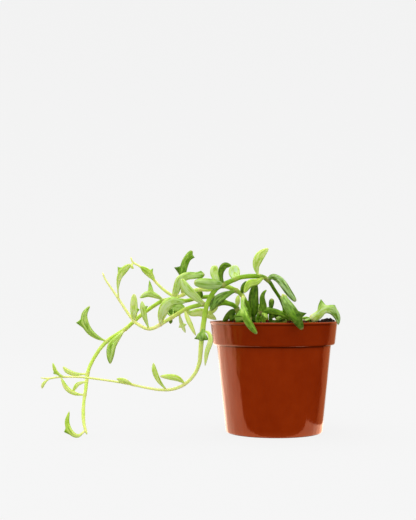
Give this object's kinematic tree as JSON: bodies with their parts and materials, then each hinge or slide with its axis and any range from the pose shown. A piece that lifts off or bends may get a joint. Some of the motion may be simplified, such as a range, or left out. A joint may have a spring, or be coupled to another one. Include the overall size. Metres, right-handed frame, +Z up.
{
  "type": "potted string of dolphins",
  "caption": "Small succulent with trailing stems of fleshy, curved, finned leaves, in a round tapered plastic pot with a collar.",
  "frame": {"origin": "middle of the pot's flat base, on the surface it stands on", "axes": "+Z up along the pot's axis; the front of the plant faces -Y and the long stems trail to -X"},
  "size_m": [0.2063, 0.1208, 0.1287],
  "materials": {
    "terracotta_plastic": "glossy",
    "potting_soil": "rough and crumbly",
    "plant": "satin, waxy"
  },
  "bodies": {
    "root": {"pot": "terracotta_plastic", "soil": "potting_soil", "stem_a": "plant", "stem_b": "plant", "stem_c": "plant", "stem_d": "plant", "shoot_front": "plant", "shoot_dark": "plant", "shoot_left": "plant", "shoot_right": "plant", "shoot_middle": "plant", "shoot_back": "plant", "shoot_rear_middle": "plant", "shoot_rear_right": "plant", "shoot_rear_left": "plant"}
  },
  "joints": []
}
